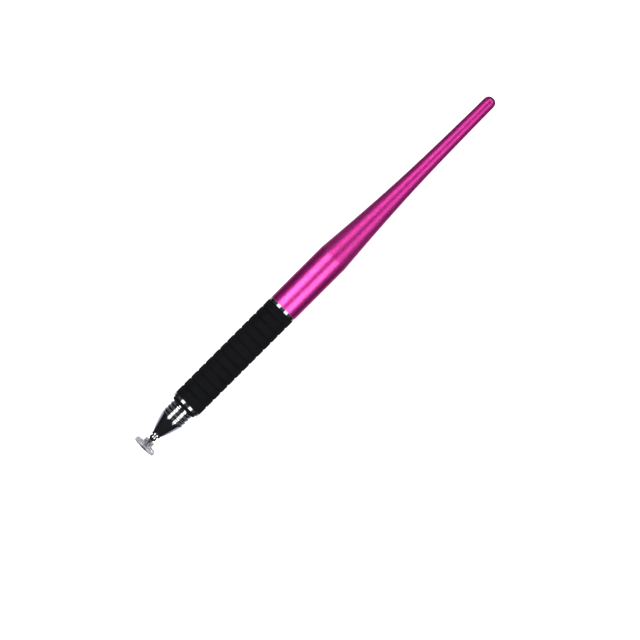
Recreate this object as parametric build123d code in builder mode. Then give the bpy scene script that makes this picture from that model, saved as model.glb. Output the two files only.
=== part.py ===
from build123d import *
import os

# Touch-screen stylus pen with a swivelling clear disc for a tip.
# The pen lies on its grip along X, with the disc towards -X and the tail towards +X.
# Lengths are in millimetres. A station is a distance along the pen from the disc's front face.

# Fits between pieces
run_clearance = 0.03
seat_clearance = 0.02

# Clear touch disc and the hub behind it
disc_diameter = 7.0
disc_thickness = 1.95
disc_flat_diameter = 3.2
disc_front_fall = 0.32
disc_rear_fall = 0.34
disc_rear_flat_diameter = 4.2
disc_rim_radius = 0.6
hub_base_diameter = 3.25
hub_top_diameter = 3.0
hub_height = 1.4
hub_edge_radius = 0.1
hub_mouth_diameter = 2.4

# Metal socket cup set into the disc
stud_cover = 0.2
stud_diameter = 0.9
stud_length = 0.88
cup_floor = 0.22
cup_wall = 0.22
cup_lip_height = 0.4

# Ball pin, from the ball back to the end of its shank
ball_diameter = 1.4
waist_diameter = 0.68
neck_diameter = 1.2
neck_cone_length = 0.55
neck_length_in_hub = 0.05
tip_gap = 0.42
bead_diameter = 2.0
bead_edge_radius = 0.3
bead_length = 1.1
bead_rear_diameter = 1.72
link_length = 0.35
flange_diameter = 2.6
flange_cone_length = 0.4
flange_length = 0.35
flange_edge_radius = 0.12
shank_diameter = 1.6
shank_length = 7.0
shank_chamfer = 0.2

# Rubber retaining ring in the shank's groove
tip_ring_thickness = 0.27
tip_ring_width = 0.5
tip_ring_edge_radius = 0.1
tip_ring_setback = 1.0

# Nose with the ogive, the cap thread and the spigot behind it
nose_mouth_diameter = 2.85
nose_ogive_length = 7.03
nose_ogive_bulge = 0.27
nose_bore_spare = 0.4
thread_diameter = 7.25
thread_length = 3.0
thread_pitch = 1.25
thread_depth = 0.25
thread_overcut = 0.1
thread_cut_width = 1.15
thread_root_width = 0.16
thread_turn_count = 4
thread_relief_length = 0.25
thread_relief_depth = 0.32
gland_diameter = 6.2
spigot_diameter = 4.8
spigot_length = 9.5
spigot_chamfer = 0.4

# Black seal ring between the thread and the front ring
seal_diameter = 8.1
seal_length = 0.95
seal_edge_radius = 0.55

# Trim rings at both ends of the grip
front_ring_diameter = 9.15
front_ring_length = 0.95
rear_ring_diameter = 9.1
rear_ring_length = 0.95
ring_edge_radius = 0.3
ring_rear_edge_radius = 0.08

# Rubber grip
grip_diameter = 9.3
grip_length = 37.3
grip_edge_radius = 0.25
groove_count = 12
groove_radius = 0.24

# Core tube that carries the grip
core_diameter = 6.4
core_bore_diameter = 4.2
core_tail_diameter = 5.9
core_tail_length = 11.0
core_chamfer = 0.3

# Barrel with the drawn-out tail, and the bush in its mouth
barrel_diameter = 9.15
barrel_wall = 0.8
barrel_length = 19.8
barrel_edge_radius = 0.12
bush_length = 12.0
tail_length = 62.9
tail_diameter = 3.72
tail_dome_length = 1.4
tail_bore_length = 41.0
tail_bore_end_diameter = 1.8

# How far along the tail the outline's points lie, and how much of the narrowing is still to come there
tail_length_shares = (0.22, 0.43, 0.62, 0.81)
tail_narrowing_shares = (0.611, 0.313, 0.146, 0.053)
tail_start_slope_share = 0.085

# Stations along the pen
hub_top = disc_thickness + hub_height
bead_start = hub_top + tip_gap
bead_end = bead_start + bead_length
flange_start = bead_end + link_length
flange_crest = flange_start + flange_cone_length
nose_start = flange_crest + flange_length
ogive_end = nose_start + nose_ogive_length
thread_end = ogive_end + thread_length
gland_start = thread_end + thread_relief_length
nose_end = gland_start + seal_length
grip_start = nose_end + front_ring_length
grip_end = grip_start + grip_length
barrel_start = grip_end + rear_ring_length
tail_start = barrel_start + barrel_length
dome_start = tail_start + tail_length
pen_length = dome_start + tail_dome_length

# Radii that pieces share
ball_radius = ball_diameter / 2
socket_radius = ball_radius + run_clearance
cup_radius = socket_radius + cup_wall
stud_radius = stud_diameter / 2
shank_radius = shank_diameter / 2
thread_radius = thread_diameter / 2
core_radius = core_diameter / 2
core_tail_radius = core_tail_diameter / 2
spigot_radius = spigot_diameter / 2
grip_radius = grip_diameter / 2
barrel_radius = barrel_diameter / 2
barrel_bore_radius = barrel_radius - barrel_wall
tail_radius = tail_diameter / 2

# Socket stations, from the stud's front to the cup's lip
cup_start = stud_cover + stud_length
ball_station = cup_start + cup_floor + socket_radius
cup_lip = ball_station + cup_lip_height

# Frame: the pen's axis is as high as the grip's radius, and X is zero at half the pen's length
pen_front = -pen_length / 2
pen_axis = Axis((0, 0, grip_radius), (1, 0, 0))
outline_plane = Plane(origin=(pen_front, 0, grip_radius), x_dir=(1, 0, 0), z_dir=(0, -1, 0))
ball_centre = (pen_front + ball_station, 0, grip_radius)

os.makedirs("parts", exist_ok=True)

# Touch disc: a clear pebble-edged disc with a hollow hub
with BuildPart() as touch_disc:
    with BuildSketch(outline_plane) as disc_outline:
        with BuildLine():
            Polyline(
                (0, 0),
                (0, disc_flat_diameter / 2),
                (disc_front_fall, disc_diameter / 2),
                (disc_thickness - disc_rear_fall, disc_diameter / 2),
                (disc_thickness, disc_rear_flat_diameter / 2),
                (disc_thickness, hub_base_diameter / 2),
                (hub_top, hub_top_diameter / 2),
                (hub_top, hub_mouth_diameter / 2),
                (cup_lip, cup_radius + seat_clearance),
                (cup_start, cup_radius + seat_clearance),
                (cup_start, stud_radius + seat_clearance),
                (stud_cover, stud_radius + seat_clearance),
                (stud_cover, 0),
                close=True,
            )
        make_face()
        fillet(disc_outline.vertices().group_by(Axis.Y)[-1], disc_rim_radius)
        fillet(disc_outline.vertices().group_by(Axis.X)[-1].sort_by(Axis.Y)[-1], hub_edge_radius)
    revolve(axis=pen_axis)
touch_disc.part.label = "touch_disc"
export_step(touch_disc.part, "parts/touch_disc.step")

# Socket cup: the conductive insert that holds the ball, with a stud towards the disc's face
with BuildPart() as socket_cup:
    with BuildSketch(outline_plane):
        with BuildLine():
            Polyline(
                (stud_cover, 0),
                (stud_cover, stud_radius),
                (cup_start, stud_radius),
                (cup_start, cup_radius),
                (cup_lip, cup_radius),
                (cup_lip, 0),
                close=True,
            )
        make_face()
    revolve(axis=pen_axis)
    with Locations(ball_centre):
        Sphere(socket_radius, mode=Mode.SUBTRACT)
socket_cup.part.label = "socket_cup"
export_step(socket_cup.part, "parts/socket_cup.step")

# Ball pin: ball, waist, neck, bead, flange and a grooved shank that plugs into the nose
shank_end = nose_start + shank_length
groove_end = shank_end - tip_ring_setback
groove_start = groove_end - tip_ring_width - 2 * run_clearance
groove_floor_radius = shank_radius - tip_ring_thickness - run_clearance
neck_start = hub_top - neck_length_in_hub
waist_end = neck_start - neck_cone_length
with BuildPart() as ball_pin:
    with BuildSketch(outline_plane) as pin_outline:
        with BuildLine():
            Polyline(
                (ball_station, 0),
                (ball_station, waist_diameter / 2),
                (waist_end, waist_diameter / 2),
                (neck_start, neck_diameter / 2),
                (bead_start, neck_diameter / 2),
                (bead_start, bead_diameter / 2),
                (bead_end, bead_rear_diameter / 2),
                (flange_start, bead_rear_diameter / 2),
                (flange_crest, flange_diameter / 2),
                (nose_start, flange_diameter / 2),
                (nose_start, shank_radius),
                (groove_start, shank_radius),
                (groove_start, groove_floor_radius),
                (groove_end, groove_floor_radius),
                (groove_end, shank_radius),
                (shank_end - shank_chamfer, shank_radius),
                (shank_end, shank_radius - shank_chamfer),
                (shank_end, 0),
                close=True,
            )
        make_face()
        flange_corners = pin_outline.vertices().group_by(Axis.Y)[-1]
        bead_corner = pin_outline.vertices().group_by(Axis.Y)[-2]
        fillet(flange_corners, flange_edge_radius)
        fillet(bead_corner, bead_edge_radius)
    revolve(axis=pen_axis)
    with Locations(ball_centre):
        Sphere(ball_radius)
ball_pin.part.label = "ball_pin"
export_step(ball_pin.part, "parts/ball_pin.step")

# Tip ring: the rubber ring in the shank's groove that keeps the pin in the nose
with BuildPart() as tip_ring:
    with BuildSketch(outline_plane) as tip_ring_outline:
        with Locations((groove_start + run_clearance, shank_radius - tip_ring_thickness)):
            Rectangle(tip_ring_width, tip_ring_thickness, align=(Align.MIN, Align.MIN))
        fillet(tip_ring_outline.vertices(), tip_ring_edge_radius)
    revolve(axis=pen_axis)
tip_ring.part.label = "tip_ring"
export_step(tip_ring.part, "parts/tip_ring.step")

# Nose: turned ogive with a cap thread, a gland for the seal ring and a spigot into the core tube
nose_bore_radius = shank_radius + run_clearance
nose_bore_end = shank_end + nose_bore_spare
spigot_end = nose_end + spigot_length
with BuildPart() as nose:
    with BuildSketch(outline_plane):
        with BuildLine():
            mouth_point = (nose_start, nose_mouth_diameter / 2)
            crest_point = (ogive_end, thread_radius)
            SagittaArc(mouth_point, crest_point, nose_ogive_bulge)
            Polyline(
                crest_point,
                (thread_end, thread_radius),
                (thread_end + thread_relief_length / 2, thread_radius - thread_relief_depth),
                (gland_start, thread_radius - thread_relief_depth),
                (gland_start, gland_diameter / 2),
                (nose_end, gland_diameter / 2),
                (nose_end, spigot_radius),
                (spigot_end - spigot_chamfer, spigot_radius),
                (spigot_end, spigot_radius - spigot_chamfer),
                (spigot_end, 0),
                (nose_bore_end, 0),
                (nose_bore_end, nose_bore_radius),
                (nose_start, nose_bore_radius),
                mouth_point,
            )
        make_face()
    revolve(axis=pen_axis)

    # The thread is a right-hand V groove, cut turn by turn, from the ogive into the relief behind it
    for turn in range(thread_turn_count):
        turn_start = pen_front + gland_start - (thread_turn_count - turn) * thread_pitch
        with BuildLine() as turn_path:
            Helix(thread_pitch, thread_pitch, thread_radius, (turn_start, 0, grip_radius), (1, 0, 0))
        path_start = turn_path.line @ 0
        path_direction = turn_path.line % 0
        with BuildSketch(Plane(path_start, x_dir=(0, 0, 1), z_dir=path_direction)):
            with BuildLine():
                Polyline(
                    (thread_overcut, thread_cut_width / 2),
                    (-thread_depth, thread_root_width / 2),
                    (-thread_depth, -thread_root_width / 2),
                    (thread_overcut, -thread_cut_width / 2),
                    close=True,
                )
            make_face()
        sweep(is_frenet=True, mode=Mode.SUBTRACT)
nose.part.label = "nose"
export_step(nose.part, "parts/nose.step")

# Seal ring: the black rubber ring in the nose's gland, rounded in front, that a cap seats on
with BuildPart() as seal_ring:
    with BuildSketch(outline_plane) as seal_outline:
        with BuildLine():
            Polyline(
                (gland_start, gland_diameter / 2 + seat_clearance),
                (gland_start, seal_diameter / 2),
                (nose_end, seal_diameter / 2),
                (nose_end, gland_diameter / 2 + seat_clearance),
                close=True,
            )
        make_face()
        fillet(seal_outline.vertices().group_by(Axis.Y)[-1].sort_by(Axis.X)[0], seal_edge_radius)
    revolve(axis=pen_axis)
seal_ring.part.label = "seal_ring"
export_step(seal_ring.part, "parts/seal_ring.step")

# Front ring: chrome trim clamped between the nose and the grip
with BuildPart() as front_ring:
    with BuildSketch(outline_plane) as front_ring_outline:
        with BuildLine():
            Polyline(
                (nose_end, spigot_radius + seat_clearance),
                (nose_end, front_ring_diameter / 2),
                (grip_start, front_ring_diameter / 2),
                (grip_start, spigot_radius + seat_clearance),
                close=True,
            )
        make_face()
        front_corners = front_ring_outline.vertices().group_by(Axis.Y)[-1].sort_by(Axis.X)
        fillet(front_corners[0], ring_edge_radius)
        fillet(front_corners[1], ring_rear_edge_radius)
    revolve(axis=pen_axis)
front_ring.part.label = "front_ring"
export_step(front_ring.part, "parts/front_ring.step")

# Grip: a rubber sleeve with evenly spaced round-bottomed grooves
groove_pitch = grip_length / (groove_count + 1)
with BuildPart() as grip_sleeve:
    with BuildSketch(outline_plane) as grip_outline:
        with BuildLine():
            Polyline(
                (grip_start, core_radius + seat_clearance),
                (grip_start, grip_radius),
                (grip_end, grip_radius),
                (grip_end, core_radius + seat_clearance),
                close=True,
            )
        make_face()
        fillet(grip_outline.vertices().group_by(Axis.Y)[-1], grip_edge_radius)
        for groove in range(groove_count):
            with Locations((grip_start + (groove + 1) * groove_pitch, grip_radius)):
                Circle(groove_radius, mode=Mode.SUBTRACT)
    revolve(axis=pen_axis)
grip_sleeve.part.label = "grip_sleeve"
export_step(grip_sleeve.part, "parts/grip_sleeve.step")

# Core tube: the metal tube inside the grip, which takes the nose in front and the bush behind
core_end = grip_end + core_tail_length
with BuildPart() as core_tube:
    with BuildSketch(outline_plane):
        with BuildLine():
            Polyline(
                (grip_start, spigot_radius + seat_clearance),
                (grip_start, core_radius),
                (grip_end, core_radius),
                (grip_end, core_tail_radius),
                (core_end - core_chamfer, core_tail_radius),
                (core_end, core_tail_radius - core_chamfer),
                (core_end, core_bore_diameter / 2),
                (spigot_end, core_bore_diameter / 2),
                (spigot_end, spigot_radius + seat_clearance),
                close=True,
            )
        make_face()
    revolve(axis=pen_axis)
core_tube.part.label = "core_tube"
export_step(core_tube.part, "parts/core_tube.step")

# Rear ring: chrome trim clamped between the core tube's shoulder and the barrel
with BuildPart() as rear_ring:
    with BuildSketch(outline_plane) as rear_ring_outline:
        with BuildLine():
            Polyline(
                (grip_end, core_tail_radius + seat_clearance),
                (grip_end, rear_ring_diameter / 2),
                (barrel_start, rear_ring_diameter / 2),
                (barrel_start, core_tail_radius + seat_clearance),
                close=True,
            )
        make_face()
        fillet(rear_ring_outline.vertices().group_by(Axis.Y)[-1], ring_rear_edge_radius)
    revolve(axis=pen_axis)
rear_ring.part.label = "rear_ring"
export_step(rear_ring.part, "parts/rear_ring.step")

# Barrel bush: the metal sleeve in the barrel's mouth that the core tube's tail screws into
bush_end = barrel_start + bush_length
with BuildPart() as barrel_bush:
    with BuildSketch(outline_plane):
        with BuildLine():
            Polyline(
                (barrel_start, core_tail_radius + seat_clearance),
                (barrel_start, barrel_bore_radius - seat_clearance),
                (bush_end, barrel_bore_radius - seat_clearance),
                (bush_end, core_tail_radius + seat_clearance),
                close=True,
            )
        make_face()
    revolve(axis=pen_axis)
barrel_bush.part.label = "barrel_bush"
export_step(barrel_bush.part, "parts/barrel_bush.step")

# Barrel: an anodised sleeve with a crease where the cylinder gives way to the drawn-out tail
tail_points = [
    (tail_start + length_share * tail_length, tail_radius + share * (barrel_radius - tail_radius))
    for length_share, share in zip(tail_length_shares, tail_narrowing_shares)
]
with BuildPart() as barrel:
    with BuildSketch(outline_plane) as barrel_outline:
        with BuildLine():
            Line((barrel_start, barrel_radius), (tail_start, barrel_radius))
            Spline(
                (tail_start, barrel_radius),
                *tail_points,
                (dome_start, tail_radius),
                tangents=((1, -tail_start_slope_share), (1, 0)),
            )
            EllipticalCenterArc((dome_start, 0), tail_dome_length, tail_radius)
            Polyline(
                (pen_length, 0),
                (tail_start + tail_bore_length, 0),
                (tail_start + tail_bore_length, tail_bore_end_diameter / 2),
                (tail_start, barrel_bore_radius),
                (barrel_start, barrel_bore_radius),
                (barrel_start, barrel_radius),
            )
        make_face()
        mouth_corner = barrel_outline.vertices().group_by(Axis.X)[0].sort_by(Axis.Y)[-1]
        fillet(mouth_corner, barrel_edge_radius)
    revolve(axis=pen_axis)
barrel.part.label = "barrel"
export_step(barrel.part, "parts/barrel.step")
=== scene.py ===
import bpy
import bmesh
import math
from mathutils import Matrix, Vector
from mathutils.geometry import interpolate_bezier


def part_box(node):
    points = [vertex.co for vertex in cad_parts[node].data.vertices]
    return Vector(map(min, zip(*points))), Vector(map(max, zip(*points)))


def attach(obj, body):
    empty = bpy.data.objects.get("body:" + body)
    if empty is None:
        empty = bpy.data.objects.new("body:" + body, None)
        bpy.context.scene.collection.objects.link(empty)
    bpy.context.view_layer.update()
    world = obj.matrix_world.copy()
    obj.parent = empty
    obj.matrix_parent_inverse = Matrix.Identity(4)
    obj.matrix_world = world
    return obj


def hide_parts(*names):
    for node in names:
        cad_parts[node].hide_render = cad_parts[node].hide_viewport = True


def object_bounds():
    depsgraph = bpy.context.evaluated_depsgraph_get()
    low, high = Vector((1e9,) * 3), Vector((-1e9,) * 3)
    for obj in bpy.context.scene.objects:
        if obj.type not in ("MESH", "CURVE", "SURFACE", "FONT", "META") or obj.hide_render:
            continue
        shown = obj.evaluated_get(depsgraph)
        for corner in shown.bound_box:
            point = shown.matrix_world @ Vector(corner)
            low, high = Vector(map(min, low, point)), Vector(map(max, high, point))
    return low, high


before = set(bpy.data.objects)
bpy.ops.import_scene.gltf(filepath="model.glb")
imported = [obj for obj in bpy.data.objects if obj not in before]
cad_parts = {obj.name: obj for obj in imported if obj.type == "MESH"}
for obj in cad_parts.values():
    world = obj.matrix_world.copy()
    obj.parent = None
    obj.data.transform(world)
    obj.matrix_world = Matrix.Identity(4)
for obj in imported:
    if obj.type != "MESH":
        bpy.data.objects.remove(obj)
cad_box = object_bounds()

# The pen lies along X with its disc towards -X. Blender works in metres, the sizes below are in millimetres.
# A station is a distance along the pen from the disc's front face. A radius is measured from the pen's axis.
MM = 0.001
pen_low, pen_high = cad_box
grip_low, grip_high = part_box("grip_sleeve")
axis_height = (grip_low.z + grip_high.z) / 2
pen_axis = Vector((0, 0, axis_height))
pen_length = pen_high.x - pen_low.x


def ends(node):
    """A CAD node's first and last stations."""
    low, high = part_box(node)
    return (low.x - pen_low.x) / MM, (high.x - pen_low.x) / MM


def widest(node):
    """A CAD node's greatest radius."""
    low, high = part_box(node)
    return (high.z - low.z) / 2 / MM


# Stations and radii of the pieces, from the frame
hub_top = ends("touch_disc")[1]
disc_radius = widest("touch_disc")
cup_lip = ends("socket_cup")[1]
cup_radius = widest("socket_cup")
ball_start, shank_end = ends("ball_pin")
nose_start, spigot_end = ends("nose")
seal_start, seal_end = ends("seal_ring")
seal_radius = widest("seal_ring")
front_ring_start = ends("front_ring")[0]
front_ring_radius = widest("front_ring")
grip_start, grip_end = ends("grip_sleeve")
grip_radius = widest("grip_sleeve")
rear_ring_radius = widest("rear_ring")
barrel_start, barrel_end = ends("barrel")
barrel_radius = widest("barrel")

# Turning on the lathe
LATHE_STEPS = 128
ROUND_STEPS = 8
LARGE_ROUNDING = 1
ROUNDING_SPARE = 0.01
MERGE_DISTANCE = 0.001
STATION_TOLERANCE = 0.01
SHARP_ANGLE = math.radians(32)

# Clear disc: a pebble-edged plate with a hollow hub round the socket cup
disc_face = 0.13
disc_face_radius = 1.3
disc_face_rounding = 0.8
disc_rim_start = 0.40
disc_rim_end = 1.74
disc_rim_rounding = 0.56
disc_back = 2.04
disc_back_radius = 2.0
disc_back_rounding = 0.3
hub_foot_radius = 1.62
hub_foot_rounding = 0.16
hub_top_radius = 1.5
hub_edge_rounding = 0.14
hub_mouth_radius = 1.2
stud_start = 0.2
stud_end = 1.08
stud_radius = 0.47
cup_clearance = 0.02

# Ball pin: ball, waist, neck, bead, flange and the shank with its groove
ball_radius = 0.7
ball_centre = ball_start + ball_radius
ball_rear_corner = 0.4115
waist_from_centre = 0.612
waist_start = ball_centre + waist_from_centre
waist_end = 2.75
waist_radius = 0.34
neck_start = 3.05
neck_radius = 0.66
bead_foot = 3.72
bead_start = 3.98
bead_lip = 4.34
bead_lip_radius = 1.06
bead_step = 4.42
bead_end = 4.86
bead_radius = 0.99
bead_rounding = 0.05
polish_fade = 0.1
link_start = 4.97
link_end = 5.14
link_radius = 0.85
flange_start = 5.33
flange_end = 5.83
flange_radius = 1.37
flange_rounding = 0.08
flange_back = 5.95
flange_back_radius = 1.14
shank_radius = 0.8
shank_chamfer = 0.2
shank_tail = 1.0
shank_groove_width = 0.56
shank_groove_end = shank_end - shank_tail
shank_groove_start = shank_groove_end - shank_groove_width
shank_groove_radius = 0.5

# Threaded nose: an ogive, a land, the cap thread, the seal's gland and the spigot
nose_bore_radius = 0.83
nose_bore_spare = 0.4
nose_bore_end = shank_end + nose_bore_spare
nose_mouth_radius = 1.425
nose_lip_rounding = 0.1
ogive_corner = 8.715
ogive_corner_radius = 2.750
ogive_rounding = 3.03
ogive_steps = 40
ogive_end = 11.70
ogive_end_radius = 3.384
land_start = 11.75
land_end = 12.0
land_radius = 3.47
thread_start = 12.24
thread_end = 16.0
thread_radius = 3.625
thread_root_radius = 3.37
thread_pitch = 1.25
thread_crest = 12.80
thread_crest_share = 0.12
thread_root_share = 0.40
thread_step = 0.04
thread_runout = 0.12
relief_radius = 3.305
gland_radius = 3.1
spigot_radius = 2.4
spigot_chamfer = 0.4

# Seal ring and the two trim rings
seal_bore_radius = 3.12
seal_front_rounding = 0.55
seal_rear_rounding = 0.06
front_ring_bore_radius = 2.42
front_ring_chamfer = 0.16
front_ring_drop = 0.34
rear_ring_bore_radius = 2.97
ring_edge_rounding = 0.05
front_seam_shift = 0.06
rear_seam_shift = 0.14
front_seam = grip_start + front_seam_shift
rear_seam = grip_end + rear_seam_shift

# Grip: bands with rounded edges between moulded notches
grip_bore_radius = 3.22
grip_edge_rounding = 0.22
notch_count = 12
notch_first = 21.20
notch_pitch = 2.866
notch_half_width = 0.34
notch_depth = 0.25
notch_lip_rounding = 0.16
notch_floor_rounding = 0.06

# Barrel: a straight sleeve to the crease, then the drawn-out tail and its round end
barrel_bore_radius = 3.775
barrel_edge_rounding = 0.1
crease = 76.5
tail_bore_end = 117.2
tail_bore_radius = 0.9
tail_end_radius = 1.86
tail_round_start = barrel_end - tail_end_radius
tail_stations = (crease, 90.04, 103.25, 115.2, 127.15, tail_round_start)
tail_radii = (barrel_radius, 3.519, 2.710, 2.256, 2.004, tail_end_radius)
tail_slopes = (-0.085, -0.0685, -0.0500, -0.0290, -0.0160, -0.0040)
tail_steps = 16

# The photograph's frame: its side, the pixels of the pen's two ends, and the camera
PICTURE_SIDE = 640
PICTURE_MIDDLE = (PICTURE_SIDE - 1) / 2
DISC_PIXEL = Vector((141.6, 448.2))
TAIL_PIXEL = Vector((492.9, 97.9))
CAMERA_DISTANCE = 1.2
CAMERA_REACH = 20
SENSOR_WIDTH = 36


# Pieces turned on the lathe

def place(station, radius):
    """A point of an outline, in the plane through the pen's axis."""
    return Vector((pen_low.x + station * MM, 0, axis_height + radius * MM))


def draw_outline(points, closed=False):
    """Draws a wire through points of station, radius and rounding, and rounds the corners that have one."""
    shape = bmesh.new()
    corners = [shape.verts.new(place(station, radius)) for station, radius, rounding in points]
    for first, second in zip(corners, corners[1:]):
        shape.edges.new((first, second))
    if closed:
        shape.edges.new((corners[-1], corners[0]))
    for corner, (station, radius, rounding) in zip(corners, points):
        if rounding:
            steps = ogive_steps if rounding > LARGE_ROUNDING else ROUND_STEPS
            bmesh.ops.bevel(
                shape, geom=[corner], offset=rounding * MM, offset_type="OFFSET", segments=steps,
                profile=0.5, affect="VERTICES", material=-1,
            )
    bmesh.ops.remove_doubles(shape, verts=shape.verts[:], dist=MERGE_DISTANCE * MM)
    return shape


def turn(shape):
    """Spins an outline round the pen's axis into a closed skin."""
    bmesh.ops.spin(
        shape, geom=shape.verts[:] + shape.edges[:], cent=pen_axis, axis=(1, 0, 0), angle=2 * math.pi,
        steps=LATHE_STEPS, use_merge=True,
    )
    bmesh.ops.remove_doubles(shape, verts=shape.verts[:], dist=MERGE_DISTANCE * MM)
    bmesh.ops.recalc_face_normals(shape, faces=shape.faces[:])


def station_of(vertex):
    """A vertex's station."""
    return (vertex.co.x - pen_low.x) / MM


def mark_edges(shape, creases=()):
    """Smooths the skin and keeps its corners, and the named creases, sharp."""
    for face in shape.faces:
        face.smooth = True
    for edge in shape.edges:
        sharp = len(edge.link_faces) != 2 or edge.calc_face_angle() > SHARP_ANGLE
        on_crease = any(
            all(abs(station_of(vertex) - station) < STATION_TOLERANCE for vertex in edge.verts)
            for station in creases
        )
        edge.smooth = not (sharp or on_crease)


def make_piece(name, shape, node, body, material):
    """Makes a shape the piece that stands for a CAD node."""
    mesh = bpy.data.meshes.new(name)
    shape.to_mesh(mesh)
    shape.free()
    mesh.materials.append(material)
    piece = bpy.data.objects.new(name, mesh)
    bpy.context.scene.collection.objects.link(piece)
    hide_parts(node)
    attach(piece, body)
    return piece


def clear_disc(material):
    """The clear disc, with the space for the socket cup in its hub."""
    shape = draw_outline([
        (disc_face, 0, 0),
        (disc_face, disc_face_radius, disc_face_rounding),
        (disc_rim_start, disc_radius, disc_rim_rounding),
        (disc_rim_end, disc_radius, disc_rim_rounding),
        (disc_back, disc_back_radius, disc_back_rounding),
        (disc_back, hub_foot_radius, hub_foot_rounding),
        (hub_top, hub_top_radius, hub_edge_rounding),
        (hub_top, hub_mouth_radius, 0),
        (cup_lip, cup_radius + cup_clearance, 0),
        (stud_end, cup_radius + cup_clearance, 0),
        (stud_end, stud_radius, 0),
        (stud_start, stud_radius, 0),
        (stud_start, 0, 0),
    ])
    turn(shape)
    mark_edges(shape)
    return make_piece("clear_disc", shape, "touch_disc", "tip_disc", material)


def swivel_pin(material):
    """The pin that the disc swivels on, from its ball to the end of its shank."""
    shape = draw_outline([
        (ball_start, 0, 0),
        (ball_start, ball_radius, ball_radius - ROUNDING_SPARE),
        (ball_centre + ball_rear_corner, ball_radius, ball_rear_corner - ROUNDING_SPARE),
        (waist_start, waist_radius, 0),
        (waist_end, waist_radius, 0),
        (neck_start, neck_radius, 0),
        (bead_foot, neck_radius, 0),
        (bead_start, bead_lip_radius, bead_rounding),
        (bead_lip, bead_lip_radius, bead_rounding),
        (bead_step, bead_radius, 0),
        (bead_end, bead_radius, bead_rounding),
        (link_start, link_radius, 0),
        (link_end, link_radius, 0),
        (flange_start, flange_radius, flange_rounding),
        (flange_end, flange_radius, flange_rounding),
        (flange_back, flange_back_radius, 0),
        (nose_start, shank_radius, 0),
        (shank_groove_start, shank_radius, 0),
        (shank_groove_start, shank_groove_radius, 0),
        (shank_groove_end, shank_groove_radius, 0),
        (shank_groove_end, shank_radius, 0),
        (shank_end - shank_chamfer, shank_radius, 0),
        (shank_end, shank_radius - shank_chamfer, 0),
        (shank_end, 0, 0),
    ])
    turn(shape)
    mark_edges(shape)
    return make_piece("swivel_pin", shape, "ball_pin", "tip_pin", material)


def cut_thread(shape):
    """Sinks a right-hand helical groove with straight flanks into the threaded stretch of the nose."""
    for vertex in shape.verts:
        station = station_of(vertex)
        side = vertex.co.y / MM
        height = (vertex.co.z - axis_height) / MM
        radius = math.hypot(side, height)
        if station < ogive_end or station > thread_end or radius < thread_root_radius:
            continue
        turns = (station - thread_crest) / thread_pitch - math.atan2(height, side) / (2 * math.pi)
        from_crest = abs(turns - round(turns))
        share = (from_crest - thread_crest_share) / (thread_root_share - thread_crest_share)
        sunk = min(max(share, 0), 1)
        reach = thread_radius + (thread_root_radius - thread_radius) * sunk
        if reach < radius:
            vertex.co.y *= reach / radius
            vertex.co.z = axis_height + height * MM * reach / radius


def threaded_nose(material):
    """The nose: ogive, thread, gland and spigot round the pin's blind bore."""
    shape = draw_outline([
        (nose_bore_end, 0, 0),
        (nose_bore_end, nose_bore_radius, 0),
        (nose_start, nose_bore_radius, 0),
        (nose_start, nose_mouth_radius, nose_lip_rounding),
        (ogive_corner, ogive_corner_radius, ogive_rounding - nose_lip_rounding),
        (ogive_end, ogive_end_radius, 0),
        (land_start, land_radius, 0),
        (land_end, land_radius, 0),
        (thread_start, thread_radius, 0),
        (thread_end, thread_radius, 0),
        (thread_end + thread_runout, relief_radius, 0),
        (seal_start, relief_radius, 0),
        (seal_start, gland_radius, 0),
        (seal_end, gland_radius, 0),
        (seal_end, spigot_radius, 0),
        (spigot_end - spigot_chamfer, spigot_radius, 0),
        (spigot_end, spigot_radius - spigot_chamfer, 0),
        (spigot_end, 0, 0),
    ])
    outside_height = axis_height + (ogive_end_radius - MERGE_DISTANCE) * MM
    first_cut = ogive_end - STATION_TOLERANCE
    last_cut = thread_end + STATION_TOLERANCE
    for edge in shape.edges[:]:
        first, second = sorted(station_of(vertex) for vertex in edge.verts)
        outside = min(vertex.co.z for vertex in edge.verts) > outside_height
        cuts = math.floor((second - first) / thread_step)
        if outside and cuts and first >= first_cut and second <= last_cut:
            bmesh.ops.subdivide_edges(shape, edges=[edge], cuts=cuts)
    turn(shape)
    cut_thread(shape)
    mark_edges(shape)
    return make_piece("threaded_nose", shape, "nose", "pen_body", material)


def cap_seal(material):
    """The black ring that a cap seats on."""
    shape = draw_outline([
        (seal_start, seal_bore_radius, 0),
        (seal_start, seal_radius, seal_front_rounding),
        (seal_end, seal_radius, seal_rear_rounding),
        (seal_end, seal_bore_radius, 0),
    ], closed=True)
    turn(shape)
    mark_edges(shape)
    return make_piece("cap_seal", shape, "seal_ring", "pen_body", material)


def front_band(material):
    """The chrome band in front of the grip, with a chamfered front edge."""
    shape = draw_outline([
        (front_ring_start, front_ring_bore_radius, 0),
        (front_ring_start, front_ring_radius - front_ring_drop, ring_edge_rounding),
        (front_ring_start + front_ring_chamfer, front_ring_radius, ring_edge_rounding),
        (front_seam, front_ring_radius, ring_edge_rounding),
        (front_seam, front_ring_bore_radius, 0),
    ], closed=True)
    turn(shape)
    mark_edges(shape)
    return make_piece("front_band", shape, "front_ring", "pen_body", material)


def rear_band(material):
    """The chrome band between the grip and the barrel."""
    shape = draw_outline([
        (rear_seam, rear_ring_bore_radius, 0),
        (rear_seam, rear_ring_radius, ring_edge_rounding),
        (barrel_start, rear_ring_radius, ring_edge_rounding),
        (barrel_start, rear_ring_bore_radius, 0),
    ], closed=True)
    turn(shape)
    mark_edges(shape)
    return make_piece("rear_band", shape, "rear_ring", "pen_body", material)


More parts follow.
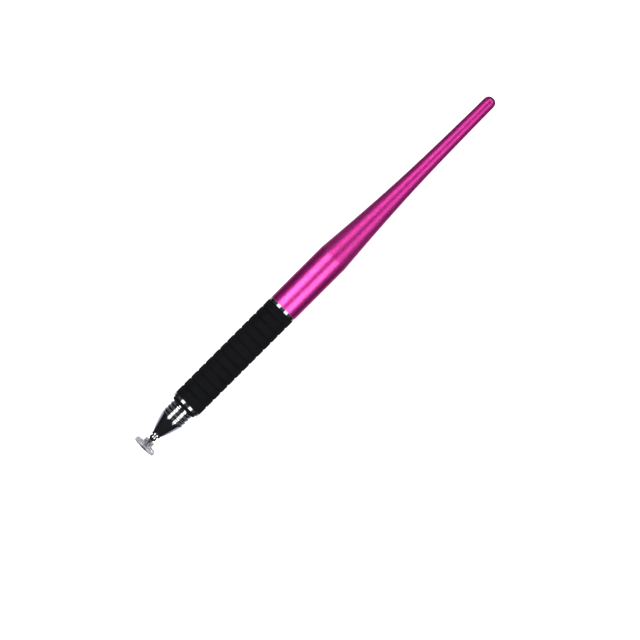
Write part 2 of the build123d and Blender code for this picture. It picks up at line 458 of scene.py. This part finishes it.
def banded_grip(material):
    """The rubber grip, notched all round between its bands."""
    points = [(front_seam, grip_bore_radius, 0), (front_seam, grip_radius, grip_edge_rounding)]
    for notch in range(notch_count):
        middle = notch_first + notch * notch_pitch
        points += [
            (middle - notch_half_width, grip_radius, notch_lip_rounding),
            (middle, grip_radius - notch_depth, notch_floor_rounding),
            (middle + notch_half_width, grip_radius, notch_lip_rounding),
        ]
    points += [(rear_seam, grip_radius, grip_edge_rounding), (rear_seam, grip_bore_radius, 0)]
    shape = draw_outline(points, closed=True)
    turn(shape)
    mark_edges(shape)
    return make_piece("banded_grip", shape, "grip_sleeve", "pen_body", material)


def tail_outline():
    """Points along the tail, drawn as one smooth curve through its stations."""
    points = []
    for step in range(len(tail_stations) - 1):
        near, far = tail_stations[step], tail_stations[step + 1]
        reach = (far - near) / 3
        curve = interpolate_bezier(
            Vector((near, tail_radii[step])),
            Vector((near + reach, tail_radii[step] + tail_slopes[step] * reach)),
            Vector((far - reach, tail_radii[step + 1] - tail_slopes[step + 1] * reach)),
            Vector((far, tail_radii[step + 1])),
            tail_steps,
        )
        points += [(point.x, point.y, 0) for point in curve[:-1]]
    return points


def anodised_barrel(material):
    """The barrel: a sleeve that creases into the tail and ends in a round tip."""
    shape = draw_outline([
        (tail_bore_end, 0, 0),
        (tail_bore_end, tail_bore_radius, 0),
        (crease, barrel_bore_radius, 0),
        (barrel_start, barrel_bore_radius, 0),
        (barrel_start, barrel_radius, barrel_edge_rounding),
        *tail_outline(),
        (barrel_end, tail_end_radius, tail_end_radius - ROUNDING_SPARE),
        (barrel_end, 0, 0),
    ])
    turn(shape)
    mark_edges(shape, creases=(crease,))
    return make_piece("anodised_barrel", shape, "barrel", "pen_body", material)


# Shared finishes

def node_input(node, name, value):
    """Sets one socket of a node by its name."""
    node.inputs[name].default_value = value


def add_node(tree, kind, **values):
    """Adds a node and sets its properties."""
    node = tree.nodes.new(kind)
    for name, value in values.items():
        setattr(node, name, value)
    return node


def new_group(name, inputs, outputs):
    """Starts a node group with named float inputs and outputs, and returns it with its two ends."""
    group = bpy.data.node_groups.new(name, "ShaderNodeTree")
    for label, value in inputs.items():
        socket = group.interface.new_socket(label, in_out="INPUT", socket_type="NodeSocketFloat")
        socket.default_value = value
    for label in outputs:
        group.interface.new_socket(label, in_out="OUTPUT", socket_type="NodeSocketFloat")
    return group, group.nodes.new("NodeGroupInput"), group.nodes.new("NodeGroupOutput")


def turned_lines_group():
    """Fine lines that run round the pen, as turning, polishing or brushing on a lathe leaves them."""
    group, entry, leave = new_group("turned_lines", {"Spacing": 0.2 * MM, "Length": 8 * MM}, ["Lines"])
    links = group.links
    coords = add_node(group, "ShaderNodeTexCoord")
    spread = add_node(group, "ShaderNodeCombineXYZ")
    links.new(entry.outputs["Spacing"], spread.inputs["X"])
    links.new(entry.outputs["Length"], spread.inputs["Y"])
    links.new(entry.outputs["Length"], spread.inputs["Z"])
    shrink = add_node(group, "ShaderNodeVectorMath", operation="DIVIDE")
    links.new(coords.outputs["Object"], shrink.inputs[0])
    links.new(spread.outputs["Vector"], shrink.inputs[1])
    noise = add_node(group, "ShaderNodeTexNoise")
    node_input(noise, "Scale", 1.0)
    node_input(noise, "Detail", 3.0)
    node_input(noise, "Roughness", 0.65)
    links.new(shrink.outputs["Vector"], noise.inputs["Vector"])
    stretch = add_node(group, "ShaderNodeMapRange")
    node_input(stretch, "From Min", 0.3)
    node_input(stretch, "From Max", 0.7)
    links.new(noise.outputs["Fac"], stretch.inputs["Value"])
    links.new(stretch.outputs["Result"], leave.inputs["Lines"])
    return group


def soft_haze_group():
    """Broad soft patches, as handling leaves on a polished or anodised surface."""
    group, entry, leave = new_group("soft_haze", {"Size": 6 * MM}, ["Haze"])
    links = group.links
    coords = add_node(group, "ShaderNodeTexCoord")
    enlarge = add_node(group, "ShaderNodeVectorMath", operation="DIVIDE")
    links.new(coords.outputs["Object"], enlarge.inputs[0])
    links.new(entry.outputs["Size"], enlarge.inputs[1])
    noise = add_node(group, "ShaderNodeTexNoise")
    node_input(noise, "Scale", 1.0)
    node_input(noise, "Detail", 2.0)
    links.new(enlarge.outputs["Vector"], noise.inputs["Vector"])
    stretch = add_node(group, "ShaderNodeMapRange")
    node_input(stretch, "From Min", 0.35)
    node_input(stretch, "From Max", 0.65)
    links.new(noise.outputs["Fac"], stretch.inputs["Value"])
    links.new(stretch.outputs["Result"], leave.inputs["Haze"])
    return group


turned_lines = turned_lines_group()
soft_haze = soft_haze_group()

# How the barrel's grain and fine lines share its tone and height, and how much of its rounded edge is bare
GRAIN_TONE_SHARE = 0.8
LINE_TONE_SHARE = 0.2
LINE_HEIGHT_SHARE = 0.25
BARE_EDGE_SHARE = 0.6


def new_material(name, **values):
    """A material with one Principled shader, whose plain values are set on its own sockets."""
    material = bpy.data.materials.new(name)
    material.use_nodes = True
    shader = material.node_tree.nodes["Principled BSDF"]
    for label, value in values.items():
        node_input(shader, label.replace("_", " "), value)
    return material, material.node_tree, shader


def use_group(tree, group, **values):
    """Places a shared effect in a material with its own values."""
    node = add_node(tree, "ShaderNodeGroup", node_tree=group)
    for label, value in values.items():
        node_input(node, label, value)
    return node


def span(tree, source, low, high):
    """A mask that goes from 0 where the source has the first value to 1 where it has the second."""
    node = add_node(tree, "ShaderNodeMapRange")
    node_input(node, "From Min", low)
    node_input(node, "From Max", high)
    tree.links.new(source, node.inputs["Value"])
    return node.outputs["Result"]


def work(tree, operation, first, second):
    """Works out a sum, product or other result of two sources or plain numbers."""
    node = add_node(tree, "ShaderNodeMath", operation=operation)
    for socket, source in zip(node.inputs, (first, second)):
        if isinstance(source, (int, float)):
            socket.default_value = source
        else:
            tree.links.new(source, socket)
    return node.outputs["Value"]


def blend_colours(tree, mask, first, second):
    """Mixes two colours, each a plain colour or another node's, by a mask."""
    mix = add_node(tree, "ShaderNodeMix", data_type="RGBA")
    sockets = [socket for socket in mix.inputs if socket.type == "RGBA"]
    for socket, colour in zip(sockets, (first, second)):
        if isinstance(colour, tuple):
            socket.default_value = (*colour, 1)
        else:
            tree.links.new(colour, socket)
    factor = [socket for socket in mix.inputs if socket.type == "VALUE"][0]
    tree.links.new(mask, factor)
    return [socket for socket in mix.outputs if socket.type == "RGBA"][0]


def vary(tree, source, target, low, high):
    """Lets a mask drive a shader socket between two values."""
    node = add_node(tree, "ShaderNodeMapRange")
    node_input(node, "To Min", low)
    node_input(node, "To Max", high)
    tree.links.new(source, node.inputs["Value"])
    tree.links.new(node.outputs["Result"], target)


def raise_by(tree, source, shader, distance, strength):
    """Lets a mask lift the surface as bump."""
    bump = add_node(tree, "ShaderNodeBump")
    node_input(bump, "Distance", distance)
    node_input(bump, "Strength", strength)
    tree.links.new(source, bump.inputs["Height"])
    tree.links.new(bump.outputs["Normal"], shader.inputs["Normal"])


def tint_between(tree, source, shader, low, high):
    """Lets a mask mix the base colour between two tones."""
    tree.links.new(blend_colours(tree, source, low, high), shader.inputs["Base Color"])


def anodised_magenta():
    """Magenta dye in a clear film over a lathe-brushed grain, bare at the cut edge of the barrel's mouth."""
    material, tree, shader = new_material(
        "anodised_magenta", Metallic=1.0, Coat_IOR=1.62, Coat_Roughness=0.27,
    )
    node_input(shader, "Specular Tint", (0.9, 0.05, 0.45, 1))
    lines = use_group(tree, turned_lines, Spacing=0.12 * MM, Length=5 * MM)
    grain = use_group(tree, turned_lines, Spacing=0.30 * MM, Length=0.8 * MM)
    grain_tone = work(tree, "MULTIPLY", grain.outputs["Lines"], GRAIN_TONE_SHARE)
    line_tone = work(tree, "MULTIPLY", lines.outputs["Lines"], LINE_TONE_SHARE)
    mottle = work(tree, "ADD", grain_tone, line_tone)
    dyed = blend_colours(tree, mottle, (0.68, 0.004, 0.23), (1.0, 0.068, 0.59))
    coords = add_node(tree, "ShaderNodeTexCoord")
    split = add_node(tree, "ShaderNodeSeparateXYZ")
    tree.links.new(coords.outputs["Object"], split.inputs["Vector"])
    mouth = pen_low.x + barrel_start * MM
    dye_start = mouth + barrel_edge_rounding * MM
    bare_end = mouth + BARE_EDGE_SHARE * barrel_edge_rounding * MM
    bare = span(tree, split.outputs["X"], dye_start, bare_end)
    tree.links.new(blend_colours(tree, bare, dyed, (0.88, 0.80, 0.86)), shader.inputs["Base Color"])
    haze = use_group(tree, soft_haze, Size=7 * MM)
    vary(tree, haze.outputs["Haze"], shader.inputs["Roughness"], 0.39, 0.42)
    line_height = work(tree, "MULTIPLY", lines.outputs["Lines"], LINE_HEIGHT_SHARE)
    height = work(tree, "ADD", grain.outputs["Lines"], line_height)
    raise_by(tree, height, shader, 0.014 * MM, 1.0)
    film = use_group(tree, turned_lines, Spacing=0.22 * MM, Length=0.7 * MM)
    vary(tree, film.outputs["Lines"], shader.inputs["Coat Weight"], 0.45, 1.0)
    return material


def polished_chrome():
    """Bright plating with the faintest polishing lines."""
    material, tree, shader = new_material("polished_chrome", Metallic=1.0)
    lines = use_group(tree, turned_lines, Spacing=0.08 * MM, Length=4 * MM)
    tint_between(tree, lines.outputs["Lines"], shader, (0.80, 0.81, 0.83), (0.86, 0.87, 0.88))
    haze = use_group(tree, soft_haze, Size=2.5 * MM)
    vary(tree, haze.outputs["Haze"], shader.inputs["Roughness"], 0.02, 0.05)
    raise_by(tree, lines.outputs["Lines"], shader, 0.002 * MM, 0.2)
    return material


def turned_brass():
    """Plain turned brass of the inner tubes."""
    material, tree, shader = new_material("turned_brass", Metallic=1.0)
    lines = use_group(tree, turned_lines, Spacing=0.15 * MM, Length=10 * MM)
    tint_between(tree, lines.outputs["Lines"], shader, (0.62, 0.44, 0.17), (0.78, 0.58, 0.28))
    vary(tree, lines.outputs["Lines"], shader.inputs["Roughness"], 0.22, 0.38)
    raise_by(tree, lines.outputs["Lines"], shader, 0.006 * MM, 0.4)
    return material


def polished_steel():
    """Steel of the swivel pin: near black in front of the bead's lip and bright from there back, with a
    near-black edge tint as painted shade along its rims.
    """
    material, tree, shader = new_material("polished_steel", Metallic=1.0)
    # Near-black edge tint: painted shade that darkens the pin's reflection towards its rims
    node_input(shader, "Specular Tint", (0.06, 0.06, 0.06, 1))
    lines = use_group(tree, turned_lines, Spacing=0.06 * MM, Length=3 * MM)
    polish = blend_colours(tree, lines.outputs["Lines"], (0.32, 0.32, 0.33), (0.40, 0.40, 0.41))
    coords = add_node(tree, "ShaderNodeTexCoord")
    split = add_node(tree, "ShaderNodeSeparateXYZ")
    tree.links.new(coords.outputs["Object"], split.inputs["Vector"])
    # The base colour is near black in front of the bead's lip, and bright from the lip back over the bead,
    # flange and shank
    edge = pen_low.x + bead_lip * MM
    bright = span(tree, split.outputs["X"], edge, edge + polish_fade * MM)
    tree.links.new(blend_colours(tree, bright, (0.020, 0.020, 0.022), polish), shader.inputs["Base Color"])
    vary(tree, lines.outputs["Lines"], shader.inputs["Roughness"], 0.06, 0.12)
    raise_by(tree, lines.outputs["Lines"], shader, 0.002 * MM, 0.2)
    return material


def turned_steel():
    """Dark satin steel of the socket cup."""
    material, tree, shader = new_material("turned_steel", Metallic=1.0)
    lines = use_group(tree, turned_lines, Spacing=0.06 * MM, Length=3 * MM)
    tint_between(tree, lines.outputs["Lines"], shader, (0.12, 0.12, 0.125), (0.20, 0.20, 0.205))
    vary(tree, lines.outputs["Lines"], shader.inputs["Roughness"], 0.25, 0.4)
    raise_by(tree, lines.outputs["Lines"], shader, 0.004 * MM, 0.4)
    return material


def matt_rubber():
    """Black rubber with a fine moulded grain."""
    material, tree, shader = new_material("matt_rubber", Specular_IOR_Level=0.08)
    coords = add_node(tree, "ShaderNodeTexCoord")
    grain = add_node(tree, "ShaderNodeTexNoise")
    node_input(grain, "Scale", 6000.0)
    node_input(grain, "Detail", 2.0)
    tree.links.new(coords.outputs["Object"], grain.inputs["Vector"])
    haze = use_group(tree, soft_haze, Size=5 * MM)
    tint_between(tree, haze.outputs["Haze"], shader, (0.0047, 0.0049, 0.0065), (0.0064, 0.0067, 0.0084))
    vary(tree, haze.outputs["Haze"], shader.inputs["Roughness"], 0.62, 0.75)
    raise_by(tree, grain.outputs["Fac"], shader, 0.03 * MM, 0.5)
    return material


def clear_plastic():
    """Clear moulded plastic, a little hazy."""
    material, tree, shader = new_material("clear_plastic", Transmission_Weight=1.0, IOR=1.49)
    haze = use_group(tree, soft_haze, Size=2 * MM)
    tint_between(tree, haze.outputs["Haze"], shader, (0.86, 0.87, 0.90), (0.90, 0.91, 0.93))
    vary(tree, haze.outputs["Haze"], shader.inputs["Roughness"], 0.18, 0.26)
    return material


def dress(node, material):
    """Gives a CAD node its material."""
    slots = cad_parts[node].data.materials
    slots.clear()
    slots.append(material)


chrome = polished_chrome()
rubber = matt_rubber()
brass = turned_brass()
plastic = clear_plastic()
steel = polished_steel()
magenta = anodised_magenta()
clear_disc(plastic)
pin = (swivel_pin(steel),)
nose = (threaded_nose(chrome),)
cap_seal(rubber)
bands = (front_band(chrome), rear_band(chrome))
banded_grip(rubber)
anodised_barrel(magenta)
dress("tip_ring", rubber)
dress("core_tube", brass)
dress("barrel_bush", brass)
dress("socket_cup", turned_steel())
for node, finish in (
    ("touch_disc", plastic), ("ball_pin", steel), ("nose", chrome), ("seal_ring", rubber),
    ("front_ring", chrome), ("grip_sleeve", rubber), ("rear_ring", chrome), ("barrel", magenta),
):
    dress(node, finish)


# Stage, light and camera

FLOOR_SIDE = 6.0
FLOOR_GLOW = 0.85
SOFTBOX_DISTANCE = 0.5
FRONT_LEANS = (math.radians(29.7), math.radians(42.5))
REAR_LEANS = (math.radians(32.5), math.radians(39))

# Each softbox hangs in stretches along X: where one starts and ends, and its radiance.
# The bands, the pin, the nose and the rest are each lit apart, and so is the nose's rim, by low side strips,
# because their highlights differ in place, length and strength.
BAND_HALF_SPREAD = math.radians(15.5)
BAND_STRETCHES = ((-0.325, 1.1, 1.4),)
NOSE_HALF_SPREAD = math.radians(13.5)
PIN_STRETCHES = ((-0.325, -0.275, 0.72), (-0.275, 0.04, 6.0), (0.04, 1.1, 0.47))
NOSE_STRETCHES = ((-0.325, -0.275, 0.72), (-0.275, 0.04, 4.0), (0.04, 1.1, 0.47))
SIDE_LEANS = (math.radians(88), math.radians(88))
SIDE_HALF_SPREAD = math.radians(14)
SIDE_STRETCHES = ((-0.06, 0.06, 0.6),)
BARREL_HALF_SPREAD = math.radians(18.5)
BARREL_LEFT_STRETCHES = (
    (-0.275, -0.03, 5.0), (-0.03, 0.022, 4.1), (0.022, 0.35, 0.27), (0.35, 1.6, 1.7),
)
BARREL_RIGHT_STRETCHES = (
    (-0.275, -0.03, 4.4), (-0.03, 0.016, 3.9), (0.016, 0.35, 0.26), (0.35, 1.6, 1.6),
)

# The room's light by direction: above the pen, low beside it, and along it, and the lit panel below
ROOM_ABOVE = (0.050, 0.050, 0.054)
ROOM_LOW = (0.008, 0.008, 0.009)
ROOM_ALONG = (0.007, 0.007, 0.008)
ROOM_AHEAD = (0.016, 0.016, 0.018)
ROOM_BEHIND = (0.11, 0.11, 0.115)
ROOM_OVER_END = (0.20, 0.20, 0.21)
ROOM_TAIL = (0.42, 0.42, 0.44)
ROOM_OVER_TAIL = (0.035, 0.035, 0.038)
PANEL_LIGHT = (0.43, 0.44, 0.54)
PANEL_EDGE = -0.58
PANEL_FULL = -0.76
PANEL_ALONG = 0.9
THROUGH_PLASTIC = (0.47, 0.47, 0.51)
PAST_FLOOR = (1.0, 1.0, 1.0)

# Where the room's light changes from one tone to the next, by a direction's share along X or up Z
LOW_FADE = (0.1, -0.1)
ALONG_FADE = (0.1, 0.35)
AHEAD_FADE = (-0.2, -0.4)
AHEAD_RISE = (0.0, 0.3)
BEHIND_FADE = (0.7, 0.85)
TAIL_FADE_IN = (0.10, 0.20)
TAIL_FADE_OUT = (0.45, 0.3)
TAIL_SINK = (0.7, 0.3)
END_FADE = (0.55, 0.7)
END_RISE = (0.05, 0.3)
PANEL_ENDS_FADE = (0.5, 0.28)


def lay_floor():
    """A plain white floor that glows enough to lose its shadows, and that polished metal doesn't mirror."""
    shape = bmesh.new()
    bmesh.ops.create_grid(shape, x_segments=1, y_segments=1, size=FLOOR_SIDE / 2)
    mesh = bpy.data.meshes.new("floor")
    shape.to_mesh(mesh)
    shape.free()
    floor = bpy.data.objects.new("floor", mesh)
    bpy.context.scene.collection.objects.link(floor)
    material, tree, shader = new_material("white_floor", Base_Color=(0.8, 0.8, 0.8, 1), Roughness=0.9)
    node_input(shader, "Specular IOR Level", 0.0)
    node_input(shader, "Emission Color", (1, 1, 1, 1))
    node_input(shader, "Emission Strength", FLOOR_GLOW)
    mesh.materials.append(material)
    floor.visible_glossy = False
    floor.visible_transmission = False
    floor.visible_shadow = False


def gather(name, pieces):
    """A collection of pieces that softboxes are hung for."""
    receivers = bpy.data.collections.new(name)
    for piece in pieces:
        receivers.objects.link(piece)
    return receivers


def hang_softbox(name, lean, half_spread, start, end, radiance, receivers):
    """A softbox beside the camera, parallel to the pen and turned towards it, from a start to an end on X."""
    light = bpy.data.lights.new(name, "AREA")
    light.shape = "RECTANGLE"
    light.size = end - start
    light.size_y = 2 * SOFTBOX_DISTANCE * math.tan(half_spread)
    light.energy = radiance * math.pi * light.size * light.size_y
    lamp = bpy.data.objects.new(name, light)
    bpy.context.scene.collection.objects.link(lamp)
    direction = Vector((0, math.sin(lean), math.cos(lean)))
    lamp.location = pen_axis + direction * SOFTBOX_DISTANCE + Vector(((start + end) / 2, 0, 0))
    lamp.rotation_euler = (-lean, 0, 0)
    lamp.visible_camera = False
    lamp.light_linking.receiver_collection = receivers


def hang_softboxes(receivers, leans, half_spread, left_stretches, right_stretches):
    """Hangs the left and the right softbox, stretch by stretch, for one collection of pieces."""
    left_lean, right_lean = leans
    sides = (("left", left_lean, left_stretches), ("right", -right_lean, right_stretches))
    for side, lean, stretches in sides:
        for count, (start, end, radiance) in enumerate(stretches):
            name = f"{receivers.name}_{side}_softbox_{count}"
            hang_softbox(name, lean, half_spread, start, end, radiance, receivers)


def set_world():
    """A dark room round a lit white panel below, and plain white where the camera looks past the floor."""
    world = bpy.data.worlds.new("studio")
    bpy.context.scene.world = world
    world.use_nodes = True
    tree = world.node_tree
    coords = add_node(tree, "ShaderNodeTexCoord")
    split = add_node(tree, "ShaderNodeSeparateXYZ")
    tree.links.new(coords.outputs["Generated"], split.inputs["Vector"])
    lengthwise = split.outputs["X"]
    height = split.outputs["Z"]
    along = work(tree, "ABSOLUTE", lengthwise, 0)
    path = add_node(tree, "ShaderNodeLightPath")
    beside = blend_colours(tree, span(tree, height, *LOW_FADE), ROOM_ABOVE, ROOM_LOW)
    ends_dark = blend_colours(tree, span(tree, along, *ALONG_FADE), beside, ROOM_ALONG)
    over_nose = work(tree, "MULTIPLY", span(tree, lengthwise, *AHEAD_FADE), span(tree, height, *AHEAD_RISE))
    nose_lit = blend_colours(tree, over_nose, ends_dark, ROOM_AHEAD)
    middle = blend_colours(tree, span(tree, lengthwise, *BEHIND_FADE), nose_lit, ROOM_BEHIND)
    fade_in = span(tree, lengthwise, *TAIL_FADE_IN)
    fade_out = span(tree, lengthwise, *TAIL_FADE_OUT)
    tailward = work(tree, "MULTIPLY", fade_in, fade_out)
    over_tail = blend_colours(tree, tailward, middle, ROOM_OVER_TAIL)
    beside_tail = work(tree, "MULTIPLY", tailward, span(tree, height, *TAIL_SINK))
    along_tail = blend_colours(tree, beside_tail, over_tail, ROOM_TAIL)
    over_end = work(tree, "MULTIPLY", span(tree, lengthwise, *END_FADE), span(tree, height, *END_RISE))
    room = blend_colours(tree, over_end, along_tail, ROOM_OVER_END)
    depth = work(tree, "SUBTRACT", height, work(tree, "MULTIPLY", along, PANEL_ALONG))
    panel_depth = span(tree, depth, PANEL_EDGE, PANEL_FULL)
    panel = work(tree, "MULTIPLY", panel_depth, span(tree, along, *PANEL_ENDS_FADE))
    light = blend_colours(tree, panel, room, PANEL_LIGHT)
    through = blend_colours(tree, path.outputs["Is Transmission Ray"], light, THROUGH_PLASTIC)
    seen = blend_colours(tree, path.outputs["Is Camera Ray"], through, PAST_FLOOR)
    background = tree.nodes["Background"]
    tree.links.new(seen, background.inputs["Color"])
    node_input(background, "Strength", 1.0)


def aim_camera():
    """Looks straight down, turned and placed so that the pen's two ends fall on their pixels."""
    along = TAIL_PIXEL - DISC_PIXEL
    scale = pen_length / along.length
    turn_angle = math.atan2(-along.y, along.x)
    right = Vector((math.cos(turn_angle), -math.sin(turn_angle), 0))
    up = Vector((math.sin(turn_angle), math.cos(turn_angle), 0))
    middle = (DISC_PIXEL + TAIL_PIXEL) / 2
    shift = (Vector((PICTURE_MIDDLE, PICTURE_MIDDLE)) - middle) * scale
    centre = Vector(((pen_low.x + pen_high.x) / 2, 0, axis_height))
    target = centre + right * shift.x - up * shift.y
    camera = bpy.data.cameras.new("camera")
    camera.sensor_width = SENSOR_WIDTH
    camera.lens = SENSOR_WIDTH * CAMERA_DISTANCE / (PICTURE_SIDE * scale)
    camera.clip_end = CAMERA_REACH
    holder = bpy.data.objects.new("camera", camera)
    bpy.context.scene.collection.objects.link(holder)
    facing = Matrix((right, up, Vector((0, 0, 1)))).transposed()
    holder.matrix_world = Matrix.Translation(target + Vector((0, 0, CAMERA_DISTANCE))) @ facing.to_4x4()
    bpy.context.scene.camera = holder


lay_floor()
lit_apart = pin + nose + bands
others = [
    piece for piece in bpy.context.scene.objects
    if piece.type == "MESH" and piece not in lit_apart
]
for name, pieces, leans, half_spread, stretches in (
    ("front_band", bands[:1], FRONT_LEANS, BAND_HALF_SPREAD, BAND_STRETCHES),
    ("rear_band", bands[1:], REAR_LEANS, BAND_HALF_SPREAD, BAND_STRETCHES),
    ("pin", pin, FRONT_LEANS, NOSE_HALF_SPREAD, PIN_STRETCHES),
    ("nose", nose, FRONT_LEANS, NOSE_HALF_SPREAD, NOSE_STRETCHES),
    ("nose_sides", nose, SIDE_LEANS, SIDE_HALF_SPREAD, SIDE_STRETCHES),
):
    hang_softboxes(gather(name, pieces), leans, half_spread, stretches, stretches)
hang_softboxes(
    gather("barrel", others), REAR_LEANS, BARREL_HALF_SPREAD,
    BARREL_LEFT_STRETCHES, BARREL_RIGHT_STRETCHES,
)
set_world()
aim_camera()
bpy.context.scene.view_settings.view_transform = "Standard"
